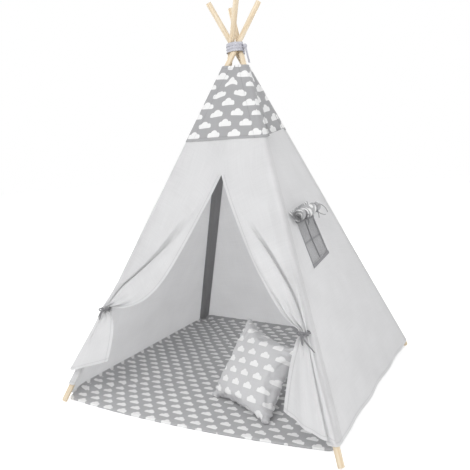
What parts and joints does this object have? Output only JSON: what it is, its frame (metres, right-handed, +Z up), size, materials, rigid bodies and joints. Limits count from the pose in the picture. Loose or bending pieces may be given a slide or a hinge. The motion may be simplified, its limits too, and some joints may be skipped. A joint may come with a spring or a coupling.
{
  "type": "play tent",
  "caption": "Children's teepee play tent: round poles tied where they cross, a cloth cover with a tied-back doorway, a window with a rolled blind, a floor mat and a cushion.",
  "frame": {"origin": "on the floor under the floor mat, level with the point where the four poles cross", "axes": "+Z up through the crossing, the doorway faces -Y, the window is in the +X wall"},
  "size_m": [1.1998, 1.1452, 1.5721],
  "materials": {
    "pine": "sanded, unvarnished",
    "zinc_tube": "satin zinc plate",
    "light_grey_cotton": "plain woven cotton, matte",
    "dark_grey_cotton": "plain woven cotton, matte",
    "cloud_cotton": "grey cotton printed with white clouds, matte",
    "cloud_mat": "padded grey cotton printed with white clouds, matte",
    "cloud_cushion": "grey cotton printed with white clouds, matte",
    "grey_tape": "woven tape, matte",
    "sheer_grey": "fine mesh, matte",
    "window_trim": "folded bias tape, matte"
  },
  "bodies": {
    "floor": {"floor_mat": "cloud_mat"},
    "cover": {"wall_back": "light_grey_cotton", "wall_left": "light_grey_cotton", "wall_right": "light_grey_cotton", "band_front": "cloud_cotton", "band_right": "cloud_cotton", "band_back": "cloud_cotton", "band_left": "cloud_cotton", "front_drape_left": "light_grey_cotton", "front_drape_right": "light_grey_cotton", "window_pane": "sheer_grey", "window_binding": "window_trim", "window_cross": "window_trim", "crown_cord": "grey_tape", "crown_tie": "grey_tape", "crown_tie_tail": "grey_tape"},
    "pole_front_left": {"pole_front_left_lower": "pine", "pole_front_left_upper": "pine", "pole_front_left_ferrule": "zinc_tube", "sleeve_front_left": "light_grey_cotton", "tieback_left": "grey_tape"},
    "pole_front_right": {"pole_front_right_lower": "pine", "pole_front_right_upper": "pine", "pole_front_right_ferrule": "zinc_tube", "sleeve_front_right": "light_grey_cotton", "tieback_right": "grey_tape"},
    "pole_back_right": {"pole_back_right_lower": "pine", "pole_back_right_upper": "pine", "pole_back_right_ferrule": "zinc_tube", "sleeve_back_right": "dark_grey_cotton"},
    "pole_back_left": {"pole_back_left_lower": "pine", "pole_back_left_upper": "pine", "pole_back_left_ferrule": "zinc_tube", "sleeve_back_left": "dark_grey_cotton"},
    "door_left": {"door_skirt_left": "light_grey_cotton"},
    "door_right": {"door_skirt_right": "light_grey_cotton"},
    "blind": {"window_blind": "cloud_cotton", "blind_tie_left": "grey_tape", "blind_tie_right": "grey_tape"},
    "cushion": {"cushion": "cloud_cushion"}
  },
  "joints": [
    {"name": "crown_rise", "type": "slide", "parent": "floor", "child": "cover", "axis": [0, 0, 1], "range_m": [0, 0.2142], "deforming": ["front_drape_left", "front_drape_right", "door_skirt_left", "door_skirt_right", "floor_mat", "cushion"]},
    {"name": "front_left_fold", "type": "hinge", "parent": "cover", "child": "pole_front_left", "pos_m": [0.01263, -0.01327, 1.39316], "axis": [0.6893, -0.7245, 0], "range_deg": [0, 26]},
    {"name": "front_right_fold", "type": "hinge", "parent": "cover", "child": "pole_front_right", "pos_m": [0.01263, 0.01327, 1.39316], "axis": [0.6893, 0.7245, 0], "range_deg": [0, 26]},
    {"name": "back_right_fold", "type": "hinge", "parent": "cover", "child": "pole_back_right", "pos_m": [-0.01263, 0.01327, 1.39316], "axis": [-0.6893, 0.7245, 0], "range_deg": [0, 26]},
    {"name": "back_left_fold", "type": "hinge", "parent": "cover", "child": "pole_back_left", "pos_m": [-0.01263, -0.01327, 1.39316], "axis": [-0.6893, -0.7245, 0], "range_deg": [0, 26]},
    {"name": "door_left_swing", "type": "hinge", "parent": "pole_front_left", "child": "door_left", "pos_m": [-0.40337, -0.44609, 0.378], "axis": [-0.398, -0.3851, -0.8327], "range_deg": [0, 60]},
    {"name": "door_right_swing", "type": "hinge", "parent": "pole_front_right", "child": "door_right", "pos_m": [0.43059, -0.41987, 0.378], "axis": [-0.3981, 0.3255, 0.8577], "range_deg": [0, 60]},
    {"name": "blind_swing", "type": "hinge", "parent": "cover", "child": "blind", "pos_m": [0.28621, -0.05874, 0.757], "axis": [0.0501, -0.9987, 0], "range_deg": [0, 75]},
    {"name": "cushion_out", "type": "slide", "parent": "floor", "child": "cushion", "axis": [0, -0.9781, 0.2079], "range_m": [0, 0.6]}
  ],
  "couplings": [
    {"joint": "front_left_fold", "follows": "crown_rise", "rad_per_m": 2.118},
    {"joint": "front_right_fold", "follows": "crown_rise", "rad_per_m": 2.118},
    {"joint": "back_right_fold", "follows": "crown_rise", "rad_per_m": 2.118},
    {"joint": "back_left_fold", "follows": "crown_rise", "rad_per_m": 2.118}
  ]
}
